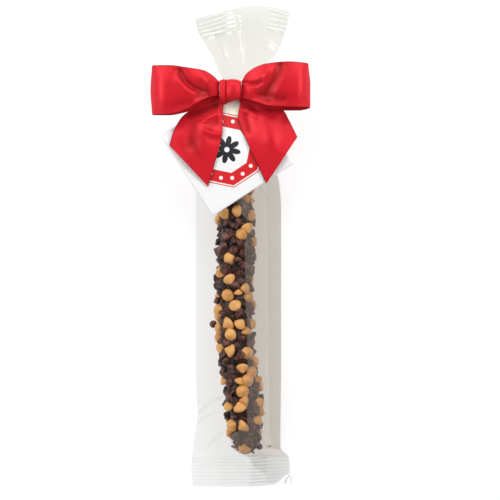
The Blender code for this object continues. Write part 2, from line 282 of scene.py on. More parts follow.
def rod_place(x, y):
    """The angle round the rod, from straight up, at which something shows at x across the pack."""
    out = (x - smooth_line(ROD_LINE, y)) / SHOWN_RADIUS
    return math.asin(min(max(float(out), -1.0), 1.0))


def join_up(pieces, name, angle=50.0):
    """Joins pieces into the first of them and settles it."""
    select_only(*pieces)
    bpy.ops.object.join()
    return settle(pieces[0], name, angle)


def press_in(model, name, places, finish, reach, sink, draw):
    """Copies of a model pressed into the coat as one piece, each at (angle, y, tip, lean, size, seen).

    A seen one leans away from straight up, and the rest from the coat's own surface.
    """
    copies = []
    ball = np.array([v.co for v in model.data.vertices])
    for angle, y, tip, lean, size, seen in places:
        core = min(max(y, ROD_END + reach - END_OVERHANG), ROD_TOP - reach)
        rise = min(max((y - core) / reach, -STEEPEST), STEEPEST)
        level = math.sqrt(1 - rise * rise)
        outward = Vector((math.sin(angle) * level, rise, math.cos(angle) * level))
        tip, lean = math.radians(tip), math.radians(lean)
        sideways = Vector((math.cos(tip), math.sin(tip), 0))
        base = Vector((0, 0, 1)) if seen else outward
        sideways = (sideways - base * sideways.dot(base)).normalized()
        axis = base * math.cos(lean) + sideways * math.sin(lean)
        turn = axis.to_track_quat("Z", "Y").to_matrix() @ Matrix.Rotation(draw.uniform(0, WHOLE_TURN), 3, "Z")
        fit = turn @ Matrix.Diagonal([size * draw.uniform(*UNEVEN) for _ in range(3)])
        spread = ball @ np.array(fit).T
        along = spread @ np.array(outward)
        out, thick = float(along.max()), float(np.ptp(along)) / MM
        taper = float(end_taper(y)) * level + 1 - level
        stand = (reach - draw.uniform(0.0, sink)) * taper
        stand = min(stand, (COAT_RADIUS - COAT_BITE) * taper + thick)
        if outward.z < 0:
            stand = min(stand, (ROD_AXIS - FLOOR_GAP) / -outward.z)
        centre = Vector((float(smooth_line(ROD_LINE, core)), core, ROD_AXIS)) * MM
        seat = outward * (stand * MM - out)
        seat.z = max(seat.z, (FLOOR_GAP - ROD_AXIS) * MM - float(spread[:, 2].min()))
        piece = model.copy()
        piece.data = model.data.copy()
        piece.matrix_world = Matrix.Translation(centre + seat) @ fit.to_4x4()
        mark(piece, "shade", np.full(len(ball), draw.random()))
        bpy.context.scene.collection.objects.link(piece)
        copies.append(piece)
    bpy.data.objects.remove(model)
    joined = join_up(copies, name, 60)
    joined.data.materials.append(finish)
    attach(joined, "root")
    return joined


def far_enough(angle, y, taken, room):
    """Whether a place on the coat is further than room from every taken one."""
    return all(
        math.hypot(math.remainder(angle - a, 2 * math.pi) * ROUND_RADIUS, y - b) > room + c
        for a, b, c in taken
    )


draw = random.Random(STREW_SEED)
drop_places = [(rod_place(x, y), y, tip, lean, size, True) for x, y, tip, lean, size in SHOWN_DROPS]
taken = [(angle, y, 0.0) for angle, y, *_ in drop_places]
for _ in range(DROP_TRIES):
    angle, y = draw.uniform(-math.pi, math.pi), draw.uniform(ROD_END + 2.5, ROD_TOP - 1.5)
    shown = abs(angle) < SHOWN_ANGLE and y < SHOWN_TOP
    if not shown and far_enough(angle, y, taken, DROP_ROOM):
        taken.append((angle, y, 0.0))
        lean = draw.choice((5, 20, 35, 55, 75))
        drop_places.append((angle, y, draw.uniform(0, 360), lean, draw.uniform(0.88, 1.05), False))

drop = begin(bpy.ops.mesh.primitive_uv_sphere_add, segments=14, ring_count=10, radius=1)
shape(drop, kiss_shape(points_of(drop) * MM) * DROP_RADIUS)

PEANUT_TAN = (0.84, 0.43, 0.14, 1)
PEANUT_DEEP = (0.68, 0.31, 0.092, 1)
peanut_wax, tree, shader = new_finish("tan peanut drops")
blend = sum_up(tree, "MULTIPLY_ADD", read_mark(tree, "shade"), 0.45, speckle(tree, 330))
feed(tree, shader, {
    "Base Color": two_tones(tree, blend, PEANUT_DEEP, PEANUT_TAN, 0.38, 0.75),
    "Roughness": 0.42, "Specular IOR Level": 0.35,
    "Normal": raised(tree, speckle(tree, 1700, 2.0), 0.18, 0.0003),
})
peanut_drops = press_in(drop, "peanut_drops", drop_places, peanut_wax, COATED_RADIUS, DROP_SINK, draw)

# Dark chips: small drops, lumps and broken shards of dark chocolate, 3 to 5 mm, rolled into the coat
# between the tan drops. The shards lie thickest at the rod's lower end.
CHIP_RADIUS, CHIP_ROOM = 2.65, 3.6
CHIP_SINK, SHARD_SINK = 1.7, 2.4
SHARD_START, SHARDS_LOW, SHARDS_HIGH = -84.0, 0.75, 0.18
LUMP_SHARE, CHIP_TRIES = 0.25, 9000
SHARD_BEVEL = 0.22
END_SHARDS = [
    (-1.35, -104.0), (1.4, -100.5), (1.35, -105.5), (-1.25, -109.0), (1.2, -109.4),
    (-0.75, -111.3), (0.8, -111.3),
]

chip = begin(bpy.ops.mesh.primitive_uv_sphere_add, segments=10, ring_count=7, radius=1)
shape(chip, kiss_shape(points_of(chip) * MM) * (CHIP_RADIUS, CHIP_RADIUS, CHIP_RADIUS * 1.05))

lumpy = begin(bpy.ops.mesh.primitive_ico_sphere_add, subdivisions=2, radius=1)
points = points_of(lumpy) * MM
points += points * lump(points, 0.8, 0.55, 3.0)[:, None]
shape(lumpy, points * (CHIP_RADIUS * 1.1, CHIP_RADIUS * 0.95, CHIP_RADIUS * 0.8))

shard = begin(bpy.ops.mesh.primitive_cylinder_add, vertices=6, radius=1, depth=1)
points = points_of(shard) * MM
shape(shard, points * (3.1, 2.0, 1.0) + points[:, [1, 2, 0]] * (0.5, 0.4, 0.2))


def edit_whole(piece, *steps):
    """Runs modelling steps on all of a piece in edit mode."""
    select_only(piece)
    bpy.ops.object.mode_set(mode="EDIT")
    bpy.ops.mesh.select_all(action="SELECT")
    for step, how in steps:
        step(**how)
    bpy.ops.object.mode_set(mode="OBJECT")


edit_whole(shard, (bpy.ops.mesh.bevel, {"offset": SHARD_BEVEL * MM, "segments": 1}))

chip_chocolate = chocolate_finish("dark chocolate chips", CHIP_LIGHT)
taken = [(angle, y, 0.9) for angle, y, *_ in drop_places]
chip_places, lump_places, shard_places = [], [], []
for angle, y in END_SHARDS:
    taken.append((angle, y, 0.0))
    shard_places.append((angle, y, draw.uniform(0, 360), draw.uniform(25, 70), draw.uniform(0.85, 1.1), False))
for _ in range(CHIP_TRIES):
    angle, y = draw.uniform(-math.pi, math.pi), draw.uniform(ROD_END + 0.5, ROD_TOP - 0.5)
    if not far_enough(angle, y, taken, CHIP_ROOM):
        continue
    taken.append((angle, y, 0.0))
    place = (angle, y, draw.uniform(0, 360), draw.uniform(0, 75), draw.uniform(0.8, 1.2), False)
    broken = SHARDS_LOW if y < SHARD_START else SHARDS_HIGH
    pick = draw.random()
    if pick < broken:
        shard_places.append(place)
    elif pick < broken + LUMP_SHARE:
        lump_places.append(place)
    else:
        chip_places.append(place)
for model, name, places, sink in (
    (chip, "dark_chips", chip_places, CHIP_SINK), (lumpy, "dark_lumps", lump_places, CHIP_SINK),
    (shard, "dark_shards", shard_places, SHARD_SINK),
):
    piece = press_in(model, name, places, chip_chocolate, COATED_RADIUS, sink, draw)

# Loose crumbs: two chips that came off beside the rod, and specks of chocolate at the foot of the bag.
# They lie free inside the film.
LOOSE_CRUMBS = [
    (-9.2, -41.2, 9.6, 2.1), (15.3, -106.2, 10.0, 1.75), (19.9, -106.3, 8.6, 0.42), (21.0, -106.1, 8.6, 0.5),
    (22.9, -106.6, 8.6, 0.3),
]
crumbs = [
    begin(
        bpy.ops.mesh.primitive_ico_sphere_add,
        subdivisions=2, radius=radius * MM, location=(x * MM, y * MM, z * MM),
    )
    for x, y, z, radius in LOOSE_CRUMBS
]
loose_crumbs = join_up(crumbs, "loose_crumbs")
points = points_of(loose_crumbs)
shape(loose_crumbs, points + lump(points, 1.6, 0.25)[:, None] * (0.4, 0.4, 0.2))
loose_crumbs.data.materials.append(chip_chocolate)
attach(loose_crumbs, "root")

# Film bag: one flattened tube of thin clear film, pulled tight over the rod and crimped flat at both ends.
# Below the neck it is gathered in pleats, and above it fans out again to the upper seal.
BOTTOM, SEAL_TOP = -128.0, -112.0
NECK_LOW, NECK_HIGH = 76.0, 88.0
NECK_LEVEL, NECK_HALF = 15.0, 3.6
ROD_CAP, FILM_RADIUS = 10.0, 11.9
CRIMP_DEPTH = 0.1
LEFT_EDGE = [
    (BOTTOM, -20.1), (-118.0, -21.0), (-108.4, -20.3), (-96.7, -18.5), (-88.2, -17.5), (-80.0, -18.2),
    (-60.0, -18.4), (30.0, -18.4), (42.0, -16.6), (54.0, -12.6), (64.0, -8.6), (71.0, -5.6), (NECK_LOW, -3.9),
]
RIGHT_EDGE = [
    (BOTTOM, 32.2), (-118.0, 31.6), (-112.0, 30.9), (-106.6, 26.6), (-100.0, 26.6), (-60.0, 27.0),
    (20.0, 27.0), (33.0, 26.1), (39.5, 24.6), (50.0, 20.2), (60.0, 14.0), (69.0, 8.0), (NECK_LOW, 4.7),
]
EDGE_LEVEL = [
    (BOTTOM, 2.2), (-120.0, 5.0), (SEAL_TOP, 8.2), (-95.0, 8.6), (30.0, 8.6), (56.0, 11.5),
    (NECK_LOW, NECK_LEVEL),
]
FAN_LEFT = [(88.0, -3.9), (92.8, -6.2), (100.4, -9.5), (106.8, -13.4), (113.9, -17.2), (120.6, -18.9)]
FAN_RIGHT = [(88.0, 4.7), (93.0, 12.5), (98.3, 20.4), (104.1, 25.4), (115.3, 29.3), (124.3, 31.5)]
FAN_BULGE = 5.25
FAN_CRIMP, FAN_LINES = 0.2, 15.7
FAN_FOLDS = [
    ([(4.2, 122.0), (6.2, 106.0), (5.4, 95.0)], 1.3, 0.5), ([(21.5, 107.0), (27.0, 102.0)], 1.5, 0.4),
    ([(-8.0, 112.0), (-2.0, 98.0)], 1.4, -0.35),
]
FILM_CREASES = [
    ([(-17.8, -88.6), (-10.0, -82.4), (-3.0, -79.4)], 0.9, -0.55), ([(-17.5, -93.0), (-8.0, -87.5)], 0.8, 0.4),
    ([(-17.0, -82.0), (-13.0, -84.5)], 0.6, 0.3), ([(-12.0, -106.0), (-5.0, -99.0)], 1.1, 0.4),
    ([(16.0, 31.0), (19.6, 25.2)], 0.7, -0.5), ([(16.5, 31.5), (22.0, 33.0)], 0.7, 0.35),
    ([(-1.5, -66.0), (2.5, -73.0)], 0.8, 0.45), ([(0.5, -64.5), (4.0, -70.0)], 0.6, -0.4),
    ([(-4.8, 8.0), (-4.0, -3.0)], 0.6, 0.4), ([(2.0, -98.0), (4.5, -103.5)], 0.7, 0.45),
]
CRIMP_PITCH = 1.9
CRIMP_CLIMB, EDGE_RAGGED, CORNER_LOST = 1.0, 0.3, 5.4
SLACK_HEIGHT, SLACK_LENGTH, SLACK_STRETCH = 0.35, 5.0, 2.6
GATHERS, GATHER_HEIGHT = 8, 0.55
PULLS, PULL_HEIGHT = 6.3, 0.32
CREASE_REACH = 25
CREASE_WHITE, FOLD_WHITE = 1.6, 1.5
LAP_START, LAP_LOW = 0.5625, -107.6
SEAL_GAP, WELD_GAP, LEAST_GAP, FLOOR_SKIN = 0.1, 0.004, 0.03, 0.05
FILM_COLUMNS, SEAL_ROWS, BAG_ROWS, FAN_ROWS = 96, 70, 170, 104


def part_way(line, share):
    """The y that lies this share of the way along a line of (y, x) points."""
    return line[0][0] + (line[-1][0] - line[0][0]) * share


def hull_height(side, radius, edge, edge_height):
    """Height of tight film over a round rod at some way from its axis, down to the bag's edge beside it."""
    reach = np.hypot(edge, edge_height)
    held = reach > radius + 0.01
    safe = np.where(held, reach, radius + 1.0)
    touch = np.arctan2(edge_height, edge) + np.arccos(radius / safe)
    touch_x, touch_z = radius * np.cos(touch), radius * np.sin(touch)
    arc = np.sqrt(np.maximum(radius**2 - side**2, 0.0))
    slope = touch_z + (edge_height - touch_z) * (side - touch_x) / np.where(held, edge - touch_x, 1.0)
    return np.where(held, np.where(side <= touch_x, arc, slope), edge_height * side / edge)


def film_levels(x, y):
    """Heights of the film's front and back at one row of the bag's body."""
    left, right = smooth_line(LEFT_EDGE, y), smooth_line(RIGHT_EDGE, y)
    edge_z, axis = float(smooth_line(EDGE_LEVEL, y)), float(smooth_line(ROD_LINE, y))
    above = max(y - ROD_TOP + ROD_CAP, 0.0)
    past, shoulder = max(ROD_END + ROD_CAP - y, above) / ROD_CAP, above / (NECK_LOW - ROD_TOP + ROD_CAP)
    radius = FILM_RADIUS * math.sqrt(max(1 - past * past, 0.0))
    radius = max(radius, (NECK_HALF - FILM_RADIUS) * shoulder + FILM_RADIUS * (shoulder > 0), 0.05)
    in_bag = ease(SEAL_TOP - 3.0, SEAL_TOP + 4.0, y)
    axis_z = float(edge_z + (ROD_AXIS + (NECK_LEVEL - ROD_AXIS) * shoulder - edge_z) * in_bag)
    gather = ease(ROD_TOP, NECK_LOW, y)
    t = np.clip((x - left) / (right - left), 0.0, 1.0)
    side = np.abs(x - axis)
    edge = np.where(x > axis, right - axis, axis - left)
    front = axis_z + hull_height(side, radius, edge, edge_z - axis_z)
    back = axis_z - hull_height(side, radius, edge, axis_z - edge_z)
    swell = NECK_HALF * np.sqrt(np.maximum(1 - (2 * t - 1) ** 2, 0.0))
    front += (edge_z + swell - front) * gather
    back += (edge_z - swell - back) * gather
    return front, np.maximum(back, FLOOR_SKIN), t


def fold(x, y, line, width, height):
    """A ridge, or a furrow where the height is below 0, along a line of points."""
    nearest = np.full_like(x, 1e9)
    for (ax, ay), (bx, by) in zip(line, line[1:]):
        dx, dy = bx - ax, by - ay
        t = np.clip(((x - ax) * dx + (y - ay) * dy) / (dx * dx + dy * dy), 0, 1)
        nearest = np.minimum(nearest, np.hypot(x - ax - t * dx, y - ay - t * dy))
    return height * np.exp(-((nearest / width) ** 2))


def ripple(count, t, start=0.0):
    """A wave between -1 and 1, with this many crests as t goes from 0 to 1."""
    return np.cos(2 * math.pi * (count * t + start))


def film_wrinkles(x, y, t):
    """How far the front film stands off its tight line: slack ripples, gathers, pulls and creases."""
    inside = np.sin(math.pi * np.clip(t, 0, 1)) ** 0.5
    stretched = np.column_stack([x, np.full_like(x, y) / SLACK_STRETCH, np.zeros_like(x)])
    slack = lump(stretched, SLACK_LENGTH, SLACK_HEIGHT, 2.0)
    slack *= (1 - ease(60, NECK_LOW, y)) * ease(SEAL_TOP, SEAL_TOP + 6, y)
    gathers = GATHER_HEIGHT * ripple(GATHERS, t, 0.15) * ease(34, 70, y) * (1 - 0.6 * ease(70, NECK_LOW, y))
    pulls = PULL_HEIGHT * ripple(PULLS, t, 0.1) * ease(SEAL_TOP, SEAL_TOP + 3, y) * (1 - ease(-106, -94, y))
    near = [crease for crease in FILM_CREASES if abs(y - crease[0][0][1]) < CREASE_REACH]
    return inside * (slack + gathers + pulls + sum(fold(x, y, *crease) for crease in near))


def crimp_wave(y):
    """The lower seal's crimps, as a wave between -1 and 1."""
    return ripple(1 / CRIMP_PITCH, y - BOTTOM)


def in_seal(y):
    """1 on the lower seal and 0 above it."""
    return 1 - ease(SEAL_TOP - 1.2, SEAL_TOP + 0.4, y)


def torn_edge(x, y):
    """How far the lower seal rises: its crimps climb to the right, where its corner is torn off."""
    climb = CRIMP_CLIMB * ease(9.0, 31.0, x) * (1 - ease(SEAL_TOP - 1.0, SEAL_TOP + 3.0, y))
    torn = EDGE_RAGGED * ease(2.0, 19.0, x) + CORNER_LOST * ease(23.0, 31.5, x)
    return climb + torn * (1 - ease(BOTTOM, BOTTOM + 9.0, y))


def body_row(y, columns):
    """One row across the bag's body: x, y, the heights of front and back, and how white the film is."""
    left, right = smooth_line(LEFT_EDGE, y), smooth_line(RIGHT_EDGE, y)
    x = left + (right - left) * columns
    front, back, t = film_levels(x, y)
    inside = np.sin(math.pi * t)
    front = front + film_wrinkles(x, y, t)
    sealed = in_seal(y)
    ridge = CRIMP_DEPTH * crimp_wave(y) * ease(BOTTOM + 0.4, BOTTOM + 1.6, y)
    middle = (front + back) / 2 + ridge
    gap = SEAL_GAP * np.minimum(1.0, 6 * inside)
    front += (middle + gap - front) * sealed
    back += (middle - gap - back) * sealed
    mean = (front + back) / 2
    half = np.maximum(front - mean, LEAST_GAP) * np.minimum(1.0, inside * 12)
    pressed = 0.4 + 0.6 * ease(-7.0, -5.0, x) + 2.2 * ease(9.0, 12.0, x) * (1 - ease(18.8, 19.6, x))
    whitened = sealed * (0.5 + 0.5 * crimp_wave(y)) * pressed
    for crease in FILM_CREASES:
        whitened = whitened + CREASE_WHITE * np.abs(fold(x, np.full_like(x, y), *crease))
    return x, y + torn_edge(x, y), mean + half, mean - half, whitened


def fan_row(f, t):
    """One row across the gathered top, from the neck (0) to its sealed edge (1), like one of the body."""
    left_y, right_y = part_way(FAN_LEFT, f), part_way(FAN_RIGHT, f)
    left, right = smooth_line(FAN_LEFT, left_y), smooth_line(FAN_RIGHT, right_y)
    x = left + (right - left) * t
    y = left_y + (right_y - left_y) * t + FAN_BULGE * f * np.sin(math.pi * t**1.2)
    wave = 2.2 * ease(0, 1, f) * ripple(1.25, t, -0.15)
    pleat = 0.9 * math.sin(math.pi * f) * ripple(3, t)
    creases = 0.22 * ripple(9, t, 0.3) * (1 - f) ** 2.5 * min(1.0, 5 * f)
    crimps = FAN_CRIMP * ripple(FAN_LINES, f) * ease(0.66, 0.72, f) * (1 - ease(0.985, 1.0, f))
    middle = NECK_LEVEL - 6 * f * f + wave + pleat * min(1.0, 4 * f) + creases + crimps
    half = (NECK_HALF * (1 - f) ** 2.5 + SEAL_GAP) * np.sqrt(np.maximum(1 - (2 * t - 1) ** 2, 0.0))
    whitened = 1.6 * ease(0.62, 0.7, f) * np.maximum(1 - ease(0.3, 0.55, t), 0.7 * ease(0.76, 0.84, t))
    for crease in FAN_FOLDS:
        relief = fold(x, y, *crease)
        middle += relief * ease(0.0, 0.2, f)
        whitened = whitened + FOLD_WHITE * np.abs(relief)
    return x, y, middle + half, middle - half, whitened


def lay_sheet(name, across, along, place):
    """A grid laid out by a rule that gives x, y and z in millimetres at (u across, v along), each 0 to 1."""
    flat = begin(bpy.ops.mesh.primitive_grid_add, x_subdivisions=across, y_subdivisions=along, size=2 * MM)
    sheet = settle(flat, name)
    grid = points_of(sheet)
    u, v = (grid[:, 0] + 1) / 2, (grid[:, 1] + 1) / 2
    shape(sheet, np.column_stack(place(u, v)))
    return sheet


def weld(piece):
    """Joins the points that meet and turns all the piece's faces outwards."""
    edit_whole(
        piece, (bpy.ops.mesh.remove_doubles, {"threshold": WELD_GAP * MM}),
        (bpy.ops.mesh.normals_make_consistent, {"inside": False}),
    )


columns = np.linspace(0, 1, FILM_COLUMNS + 1)
stations = [*np.linspace(BOTTOM, SEAL_TOP + 1, SEAL_ROWS), *np.linspace(SEAL_TOP + 2, NECK_LOW, BAG_ROWS)]
rows = [body_row(y, columns) for y in stations]
neck = fan_row(0.0, columns)
rows += [(neck[0], np.full_like(columns, y), neck[2], neck[3], 0 * columns) for y in (79.0, 82.0, 85.0)]
rows += [fan_row(f, columns) for f in np.linspace(0, 1, FAN_ROWS)]
film_x, film_y, film_front, film_back, film_white = (np.array([row[k] for row in rows]) for k in range(5))
film_middle = (film_front + film_back) / 2
for edge_of in (np.s_[0, :], np.s_[-1, :], np.s_[:, 0], np.s_[:, -1]):
    film_front[edge_of] = film_back[edge_of] = film_middle[edge_of]

layers = []
for levels in (film_front, film_back):
    laid = [values.ravel() for values in (film_x, film_y, levels)]
    layer = lay_sheet("film layer", FILM_COLUMNS, len(rows) - 1, lambda u, v: laid)
    mark(layer, "crimp", film_white.ravel())
    layers.append(layer)
select_only(*layers)
bpy.ops.object.join()
weld(layers[0])
film_bag = settle(layers[0], "film_bag", 70)


def film_finish(name, tint, haze, haze_tone, gloss=0.1, crimp_haze=0.04, crimp_shine=0.035, crinkle=0.4):
    """Clear film: it tints what is behind it, scatters a little light and mirrors the lamps at its folds."""
    material, tree, shader = new_finish(name)
    tree.nodes.remove(shader)
    crinkled = raised(tree, speckle(tree, 130, 3.0, 0.6), crinkle, 0.0012)
    clear = add_node(tree, "BsdfTransparent", {"Color": tint})
    milky = add_node(tree, "BsdfDiffuse", {"Color": haze_tone})
    mirror = add_node(tree, "BsdfGlossy", {"Roughness": gloss, "Normal": crinkled})
    edge = add_node(tree, "LayerWeight", {"Blend": 0.5})
    crimp = read_mark(tree, "crimp")
    still = sum_up(tree, "MULTIPLY_ADD", crimp, crimp_shine, 0.004)
    shine = sum_up(tree, "MULTIPLY_ADD", sum_up(tree, "POWER", edge.outputs["Facing"], 4.0), 0.45, still)
    cloud = sum_up(tree, "MULTIPLY_ADD", crimp, crimp_haze, haze)
    body = add_node(tree, "MixShader", {"Fac": cloud, 1: clear.outputs["BSDF"], 2: milky.outputs["BSDF"]})
    film = add_node(tree, "MixShader", {"Fac": shine, 1: body.outputs["Shader"], 2: mirror.outputs["BSDF"]})
    feed(tree, tree.nodes["Material Output"], {"Surface": film.outputs["Shader"]})
    return material


HAZE_GREY = (0.42, 0.42, 0.41, 1)
clear_film = film_finish("clear film", (0.935, 0.937, 0.933, 1), 0.002, HAZE_GREY)
doubled_film = film_finish("doubled clear film", (0.838, 0.832, 0.822, 1), 0.002, HAZE_GREY)
gathered_film = film_finish(
    "gathered clear film", (0.902, 0.907, 0.880, 1), 0.006, (0.42, 0.42, 0.40, 1), 0.13, 0.008, 0.06, 0.12
)
for finish in (clear_film, gathered_film, doubled_film):
    film_bag.data.materials.append(finish)
faces = film_bag.data.polygons
x, y, _ = np.array([face.center for face in faces]).T / MM
lap = smooth_line(LEFT_EDGE, y) * (1 - LAP_START) + smooth_line(RIGHT_EDGE, y) * LAP_START
doubled = np.array([face.normal.z < 0 for face in faces]) & (y > LAP_LOW) & (y < NECK_LOW) & (x > lap)
faces.foreach_set("material_index", np.where(y > NECK_HIGH, 1, 2 * doubled))
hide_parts("bag")
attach(film_bag, "root")

# Fin seal: the two long edges of the film, sealed together and folded flat to the right on the shown side.
# Four thicknesses of film lie there, so it is milky and greyer than the rest.
FIN_THICK = 0.12
FIN_LEFT = [
    (-127.3, 19.2), (-121.8, 19.0), (-119.0, 14.2), (-116.0, 11.5), (-112.0, 9.8), (-110.5, 7.6),
    (-107.0, 1.6), (-101.0, 0.2), (-98.5, 1.8), (-95.5, 7.4), (-92.0, 9.0), (-82.0, 8.2), (-60.0, 9.0),
    (-45.0, 9.0), (-25.0, 7.8), (0.0, 7.6), (5.0, 8.2), (9.5, 10.4), (12.0, 10.6), (16.2, 6.6), (19.3, 5.0),
    (24.6, 3.4), (40.0, 2.6), (60.0, 1.8), (74.0, 1.4),
]
FIN_RIGHT = [
    (-127.3, 30.6), (-118.0, 31.0), (-112.0, 30.3), (-106.6, 26.2), (-100.0, 26.2), (-60.0, 26.6),
    (20.0, 26.6), (33.0, 25.6), (39.5, 23.8), (50.0, 18.0), (60.0, 9.5), (74.0, 3.4),
]
TUCK_LEFT = [
    (-108.0, 23.4), (-104.0, 21.6), (-97.0, 20.8), (-85.0, 20.6), (-20.0, 20.0), (20.0, 19.4),
    (30.0, 19.2), (44.0, 20.0),
]
TUCK_INSET, TUCK_DEPTH, FIN_STAND = 0.35, 0.45, 0.2


def over_film(x, y, stand_off):
    """Heights of points that lie this far off the front film."""
    made = np.empty_like(x)
    for row in np.unique(y):
        here = y == row
        front, _, t = film_levels(x[here], row)
        made[here] = front + film_wrinkles(x[here], row, t)
    return made + stand_off


def strip_places(left_line, right_line, u, v):
    """x and y on a strip of film between two edge lines of (y, x) points."""
    y = part_way(left_line, v)
    left, right = smooth_line(left_line, y), smooth_line(right_line, y)
    return left + (right - left) * u, y


def fin_rule(u, v):
    x, y = strip_places(FIN_LEFT, FIN_RIGHT, u, v)
    ridge = CRIMP_DEPTH * crimp_wave(y) * in_seal(y)
    free = 0.05 + 0.25 * u**2 * ease(SEAL_TOP, SEAL_TOP + 12, y) * (1 - ease(10, 50, y))
    return x, y + torn_edge(x, y), over_film(x, y, FIN_STAND) + ridge + free


def tuck_rule(u, v):
    x, y = strip_places(TUCK_LEFT, [(b, a - TUCK_INSET) for b, a in RIGHT_EDGE], u, v)
    return x, y, over_film(x, y, -TUCK_DEPTH) - 0.25 * (1 - u)


def thicken(piece, thickness, offset=0.0):
    """Gives a sheet its thickness, as a closed piece with a rim."""
    wall = piece.modifiers.new("thickness", "SOLIDIFY")
    wall.thickness, wall.offset = thickness * MM, offset
    select_only(piece)
    bpy.ops.object.modifier_apply(modifier=wall.name)


milky_film = film_finish("milky sealed film", (0.925, 0.904, 0.878, 1), 0.066, (0.74, 0.66, 0.61, 1), 0.16)
tuck_film = film_finish("tucked clear film", (0.976, 0.970, 0.962, 1), 0.01, (0.5, 0.47, 0.44, 1), 0.16)
for name, rule, cells, finish in (
    ("fin_seal", fin_rule, (22, 260), milky_film), ("side_tuck", tuck_rule, (10, 160), tuck_film)
):
    strip = lay_sheet(name, *cells, rule)
    thicken(strip, FIN_THICK)
    strip.data.materials.append(finish)
    strip.data.materials.append(clear_film)
    for face in strip.data.polygons:
        face.material_index = int(face.center.y < SEAL_TOP * MM)
    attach(strip, "root")

# Torn shreds: two thin threads of film left hanging where the lower seal's corner was torn off,
# still joined to it at one end.
SHREDS = [((28.6, -126.4), (31.0, -121.8), 1.1), ((32.3, -126.6), (32.1, -122.6), 0.6)]


def shred_rule(start, end, width):
    def place(u, v):
        x = start[0] + (end[0] - start[0]) * v + width * (u - 0.5) + 0.25 * np.sin(9 * v)
        return x, start[1] + (end[1] - start[1]) * v, 2.8 + 1.4 * v + 0.2 * np.sin(7 * v + 2 * u)

    return place


for number, shred_line in enumerate(SHREDS, 1):
    shred = lay_sheet(f"film_shred_{number}", 3, 16, shred_rule(*shred_line))
    thicken(shred, FIN_THICK)
    shred.data.materials.append(doubled_film)
    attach(shred, "root")

# Ribbon round the neck: a turn of the same red satin, drawn tight in pleats behind the bow, where it
# holds the film shut.
RIBBON_THICK = 0.4
SATIN_RED = (0.765, 0.013, 0.029, 1)
SATIN_DEEP = (0.60, 0.007, 0.015, 1)
SATIN_SHADE = (0.40, 0.005, 0.008, 1)
EDGE_SHADE = (0.24, 0.002, 0.005, 1)
SHADE_FULL_DEPTH = 1.4
THREADS, THREAD_GRAIN = (26, 85, 1), 2.4
WEAVE, WEAVE_GRAIN = (60, 26, 1), 3.0
WRAP_LOW, WRAP_WIDTH, WRAP_PLEATS = 77.6, 8.8, 6


def mark_furrow_shade(piece, creases, side=1):
    """Keeps how deep each point lies in the piece's creases, as painted shade: the satin's colour is darkened
    there.
    """
    x, y, _ = points_of(piece).T
    depth = sum(fold(side * x, y, *crease) for crease in creases)
    mark(piece, "painted_shade", np.clip(-depth / SHADE_FULL_DEPTH, 0.0, 1.0))


def lay_tone(tree, under, over, share):
    """One colour laid over another by a share between 0 and 1."""
    return add_node(tree, "Mix", {"A": under, "B": over, "Factor": share}, data_type="RGBA").outputs["Result"]


satin, tree, shader = new_finish("red satin ribbon")
cloth = add_node(tree, "UVMap", {}).outputs["UV"]


def threads(stretch, grain, detail):
    """The fine unevenness of the threads, along the ribbon's own length and width."""
    place = add_node(tree, "Mapping", {"Vector": cloth, "Scale": stretch})
    settings = {"Vector": place.outputs["Vector"], "Scale": grain, "Detail": detail}
    return add_node(tree, "TexNoise", settings).outputs["Fac"]


tone = two_tones(tree, threads(THREADS, THREAD_GRAIN, 2.0), SATIN_DEEP, SATIN_RED, 0.32, 0.62)
# Painted shade: the colour is darkened towards SATIN_SHADE where a piece marks its creases, or the knot its
# underside and groove.
shaded = lay_tone(tree, tone, SATIN_SHADE, read_mark(tree, "painted_shade"))
# Painted shade: a dark line runs along both edges of the ribbon, where its cut edges lie in shadow.
split = add_node(tree, "SeparateXYZ", {"Vector": cloth})
far_out = sum_up(tree, "ABSOLUTE", sum_up(tree, "SUBTRACT", split.outputs["X"], 0.5))
edge = add_node(tree, "MapRange", {"Value": far_out, "From Min": 0.475, "From Max": 0.496})
feed(tree, shader, {
    "Base Color": lay_tone(tree, shaded, EDGE_SHADE, edge.outputs["Result"]),
    "Roughness": 0.34, "Metallic": 0.25, "Specular IOR Level": 0.28,
    "Sheen Weight": 0.03, "Sheen Roughness": 0.35, "Sheen Tint": (1, 0.35, 0.42, 1),
    "Normal": raised(tree, threads(WEAVE, WEAVE_GRAIN, 1.0), 0.22, 0.0004),
})


def wrap_rule(u, v):
    angle = 2 * math.pi * v
    pleat = 0.16 * ripple(WRAP_PLEATS, u)
    x = 0.4 + (NECK_HALF + 1.35 + pleat) * np.sin(angle)
    z = NECK_LEVEL + (NECK_HALF + 0.65 + pleat) * np.cos(angle)
    return x, WRAP_LOW + WRAP_WIDTH * u, z


neck_ribbon = lay_sheet("neck_ribbon", 30, 72, wrap_rule)
weld(neck_ribbon)
thicken(neck_ribbon, RIBBON_THICK)
neck_ribbon.data.materials.append(satin)
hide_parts("bow_wrap")
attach(neck_ribbon, "root")

